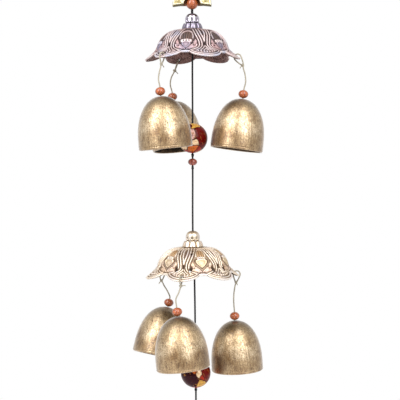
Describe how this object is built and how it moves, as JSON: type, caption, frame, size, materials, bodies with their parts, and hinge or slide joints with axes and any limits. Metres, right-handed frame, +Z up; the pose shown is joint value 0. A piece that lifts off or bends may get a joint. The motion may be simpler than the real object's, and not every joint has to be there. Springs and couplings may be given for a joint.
{
  "type": "wind chime",
  "caption": "Hanging wind chime: tiers of domed brass bells on cords from lotus-shaped metal caps, with clapper balls on a central cord and a wind leaf below.",
  "frame": {"origin": "inside top of the hanging ring, where a hook bears on it", "axes": "+Z up along the central cord, +X to the viewer's right, +Y away from the viewer"},
  "size_m": [0.1143, 0.1171, 0.4576],
  "materials": {
    "bell_brass": "antiqued, brushed and lightly speckled",
    "gilt_brass": "bright gilt with olive shadows",
    "mauve_copper": "antiqued copper, rubbed bright on the relief",
    "champagne_metal": "polished champagne gold, rubbed relief",
    "silver_metal": "polished",
    "bead_wood": "varnished",
    "panel_wood": "stained",
    "dark_bead_wood": "varnished",
    "black_cord": "waxed cord",
    "cream_cord": "twisted cotton",
    "ball_lacquer": "high gloss patchwork"
  },
  "bodies": {
    "hanger": {"hanging_ring": "gilt_brass"},
    "loop": {"top_loop": "black_cord"},
    "upper_line": {"top_bead": "bead_wood", "upper_cord": "black_cord", "ornament_bead": "bead_wood"},
    "ornament": {"ornament_saddle": "gilt_brass", "ornament_panel": "panel_wood"},
    "crown_1": {"bud_finial_1": "silver_metal", "petal_collar_1": "silver_metal", "lotus_cap_1": "mauve_copper"},
    "middle_line": {"middle_cord": "black_cord", "clapper_ball_1": "ball_lacquer", "clapper_bead_1": "dark_bead_wood"},
    "crown_2": {"bud_finial_2": "champagne_metal", "petal_collar_2": "champagne_metal", "lotus_cap_2": "champagne_metal"},
    "lower_line": {"lower_cord": "black_cord", "clapper_ball_2": "ball_lacquer", "end_bead": "bead_wood", "end_loop": "black_cord"},
    "leaf": {"wind_leaf": "gilt_brass"},
    "bell_line_1a": {"bell_loop_1a": "cream_cord", "bell_cord_1a": "cream_cord", "bell_bead_1a": "bead_wood"},
    "bell_1a": {"bell_1a": "bell_brass"},
    "bell_line_1b": {"bell_loop_1b": "cream_cord", "bell_cord_1b": "cream_cord", "bell_bead_1b": "bead_wood"},
    "bell_1b": {"bell_1b": "bell_brass"},
    "bell_line_1c": {"bell_loop_1c": "cream_cord", "bell_cord_1c": "cream_cord", "bell_bead_1c": "bead_wood"},
    "bell_1c": {"bell_1c": "bell_brass"},
    "bell_line_2a": {"bell_loop_2a": "cream_cord", "bell_cord_2a": "cream_cord", "bell_bead_2a": "bead_wood"},
    "bell_2a": {"bell_2a": "bell_brass"},
    "bell_line_2b": {"bell_loop_2b": "cream_cord", "bell_cord_2b": "cream_cord", "bell_bead_2b": "bead_wood"},
    "bell_2b": {"bell_2b": "bell_brass"},
    "bell_line_2c": {"bell_loop_2c": "cream_cord", "bell_cord_2c": "cream_cord", "bell_bead_2c": "bead_wood"},
    "bell_2c": {"bell_2c": "bell_brass"}
  },
  "joints": [
    {"name": "loop_swing", "type": "hinge", "parent": "hanger", "child": "loop", "pos_m": [0, 0, -0.0168], "axis": [1, 0, 0], "range_deg": [-30, 30]},
    {"name": "line_swing", "type": "hinge", "parent": "loop", "child": "upper_line", "pos_m": [0, 0, -0.02915], "axis": [0, 1, 0], "range_deg": [-20, 20]},
    {"name": "ornament_spin", "type": "hinge", "parent": "upper_line", "child": "ornament", "pos_m": [0, 0, -0.056], "axis": [0, 0, 1], "continuous": true},
    {"name": "crown_1_spin", "type": "hinge", "parent": "upper_line", "child": "crown_1", "pos_m": [0, 0, -0.0875], "axis": [0, 0, 1], "continuous": true},
    {"name": "middle_swing", "type": "hinge", "parent": "upper_line", "child": "middle_line", "pos_m": [0, 0, -0.09455], "axis": [0, 1, 0], "range_deg": [-1, 1]},
    {"name": "crown_2_spin", "type": "hinge", "parent": "middle_line", "child": "crown_2", "pos_m": [-0.00139, 0, -0.2718], "axis": [0, 0, 1], "continuous": true},
    {"name": "lower_swing", "type": "hinge", "parent": "middle_line", "child": "lower_line", "pos_m": [-0.0002, 0, -0.27885], "axis": [0, 1, 0], "range_deg": [-1, 1]},
    {"name": "leaf_swing", "type": "hinge", "parent": "lower_line", "child": "leaf", "pos_m": [0, 0, -0.427], "axis": [1, 0, 0], "range_deg": [-60, 60]},
    {"name": "bell_1a_swing", "type": "hinge", "parent": "crown_1", "child": "bell_line_1a", "pos_m": [0.03809, -0.00672, -0.1122], "axis": [-0.3384, -0.9244, -0.1762], "range_deg": [-0.5, 45]},
    {"name": "bell_1a_rock", "type": "hinge", "parent": "bell_line_1a", "child": "bell_1a", "pos_m": [0.04186, -0.00713, -0.14765], "axis": [0.9767, -0.1729, -0.1272], "range_deg": [-12, 12]},
    {"name": "bell_1b_swing", "type": "hinge", "parent": "crown_1", "child": "bell_line_1b", "pos_m": [-0.01323, 0.03635, -0.1122], "axis": [0.9298, -0.0429, -0.3655], "range_deg": [-0.5, 45]},
    {"name": "bell_1b_rock", "type": "hinge", "parent": "bell_line_1b", "child": "bell_1b", "pos_m": [-0.01776, 0.039, -0.14665], "axis": [-0.4057, 0.9042, -0.1339], "range_deg": [-12, 12]},
    {"name": "bell_1c_swing", "type": "hinge", "parent": "crown_1", "child": "bell_line_1c", "pos_m": [-0.02486, -0.02963, -0.1122], "axis": [-0.7878, 0.6149, 0.036], "range_deg": [-0.5, 45]},
    {"name": "bell_1c_rock", "type": "hinge", "parent": "bell_line_1c", "child": "bell_1c", "pos_m": [-0.02628, -0.03195, -0.14608], "axis": [-0.6311, -0.7731, -0.0631], "range_deg": [-12, 12]},
    {"name": "bell_2a_swing", "type": "hinge", "parent": "crown_2", "child": "bell_line_2a", "pos_m": [0.03598, 0.01001, -0.2965], "axis": [0.2148, -0.9756, -0.0459], "range_deg": [-0.5, 45]},
    {"name": "bell_2a_rock", "type": "hinge", "parent": "bell_line_2a", "child": "bell_2a", "pos_m": [0.03421, 0.0131, -0.33749], "axis": [0.9375, 0.3448, 0.0478], "range_deg": [-12, 12]},
    {"name": "bell_2b_swing", "type": "hinge", "parent": "crown_2", "child": "bell_line_2b", "pos_m": [-0.02874, 0.02735, -0.2965], "axis": [0.6347, 0.7669, 0.0953], "range_deg": [-0.5, 45]},
    {"name": "bell_2b_rock", "type": "hinge", "parent": "bell_line_2b", "child": "bell_2b", "pos_m": [-0.02424, 0.03217, -0.32741], "axis": [-0.5825, 0.8127, -0.0145], "range_deg": [-12, 12]},
    {"name": "bell_2c_swing", "type": "hinge", "parent": "crown_2", "child": "bell_line_2c", "pos_m": [-0.0114, -0.03736, -0.2965], "axis": [-0.9474, 0.3145, -0.0598], "range_deg": [-0.5, 45]},
    {"name": "bell_2c_rock", "type": "hinge", "parent": "bell_line_2c", "child": "bell_2c", "pos_m": [-0.01413, -0.038, -0.32738], "axis": [-0.315, -0.9486, -0.031], "range_deg": [-12, 12]}
  ]
}
